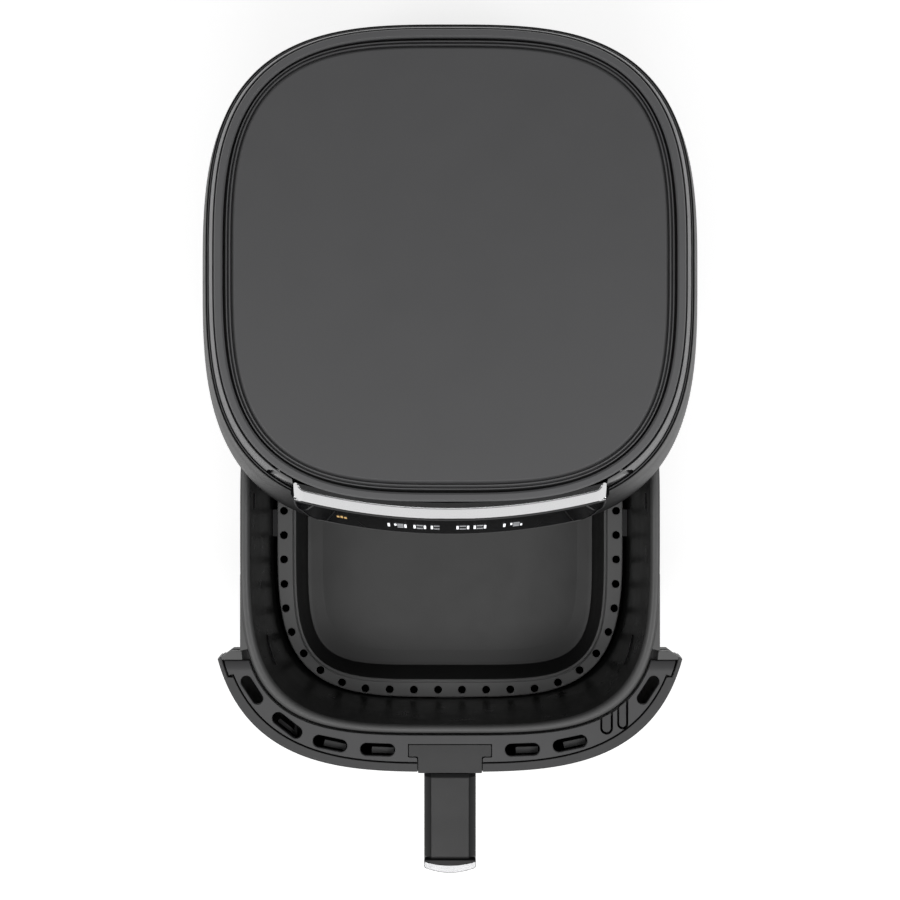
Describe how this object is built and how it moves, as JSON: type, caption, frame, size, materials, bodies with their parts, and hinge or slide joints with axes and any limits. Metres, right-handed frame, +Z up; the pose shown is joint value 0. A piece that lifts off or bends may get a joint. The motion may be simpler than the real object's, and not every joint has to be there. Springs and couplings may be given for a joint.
{
  "type": "basket air fryer",
  "caption": "Squircle-bodied countertop air fryer with a pull-out pot and crisper plate, touch display panel, chrome trim and a fan-over-heater unit.",
  "frame": {"origin": "middle of the footprint on the surface the feet stand on, with the drawer pulled out as stored", "axes": "+Z up, -Y towards the drawer handle, +X to the right seen from above with the handle towards the viewer"},
  "size_m": [0.306, 0.5176, 0.316],
  "materials": {
    "dark_shell": "fine satin moulded plastic",
    "lid_plastic": "fine satin moulded plastic, grained",
    "black_inner": "moulded plastic",
    "gloss_black": "polished black",
    "chrome": "bright plated",
    "lit_white": "lit segments",
    "circuit": "circuit laminate",
    "rubber": "matt rubber",
    "steel": "plain steel",
    "alu_sheet": "aluminised sheet",
    "heater": "oxidised sheath",
    "coated": "non-stick coating",
    "silicone": "silicone",
    "handle_plastic": "satin moulded plastic"
  },
  "bodies": {
    "housing": {"lower_housing": "dark_shell", "seam_ring": "black_inner", "upper_collar": "dark_shell", "top_deck": "black_inner", "lid_ring": "dark_shell", "lid_panel": "lid_plastic", "control_housing": "gloss_black", "chrome_trim": "chrome", "display_panel": "gloss_black", "display_digits": "lit_white", "display_board": "circuit", "base_plate": "black_inner", "foot_pads": "rubber", "housing_screws": "steel", "bay_liner": "alu_sheet", "bay_mouth_frame": "black_inner", "bay_sill": "black_inner", "bay_ceiling": "alu_sheet", "drawer_rails": "steel", "heat_shield": "alu_sheet", "heating_element": "heater", "element_guard": "steel", "motor_bracket": "steel", "motor_can": "steel", "stator_ring": "steel", "motor_bearings": "steel", "power_board": "circuit", "thermal_cutout": "steel", "temperature_probe": "steel", "switch_body": "black_inner", "rear_vent_cover": "dark_shell", "cord_gland": "black_inner"},
    "rotor": {"motor_shaft": "steel", "rotor_core": "steel", "hot_fan": "alu_sheet", "cooling_fan": "black_inner", "fan_nut": "steel"},
    "plunger": {"switch_plunger": "black_inner"},
    "drawer": {"pot": "coated", "front_shell": "dark_shell", "front_top_plate": "dark_shell", "latch_tabs": "black_inner", "front_inner_moulding": "black_inner", "handle_mount": "handle_plastic", "handle_body": "handle_plastic", "handle_strip": "chrome", "grip_pad": "silicone", "handle_screws": "steel"},
    "plate": {"crisper_plate": "coated", "plate_feet": "silicone", "plate_bumpers": "silicone"}
  },
  "joints": [
    {"name": "drawer_slide", "type": "slide", "parent": "housing", "child": "drawer", "axis": [0, 1, 0], "range_m": [-0.055, 0.1509]},
    {"name": "plate_lift", "type": "slide", "parent": "drawer", "child": "plate", "axis": [0, 0, 1], "range_m": [0, 0.09]},
    {"name": "fan_spin", "type": "hinge", "parent": "housing", "child": "rotor", "pos_m": [0, 0.1058, 0.25], "axis": [0, 0, 1], "continuous": true},
    {"name": "switch_press", "type": "slide", "parent": "housing", "child": "plunger", "axis": [0, 1, 0], "range_m": [0, 0.0025], "stiffness_N_per_m": 400}
  ]
}
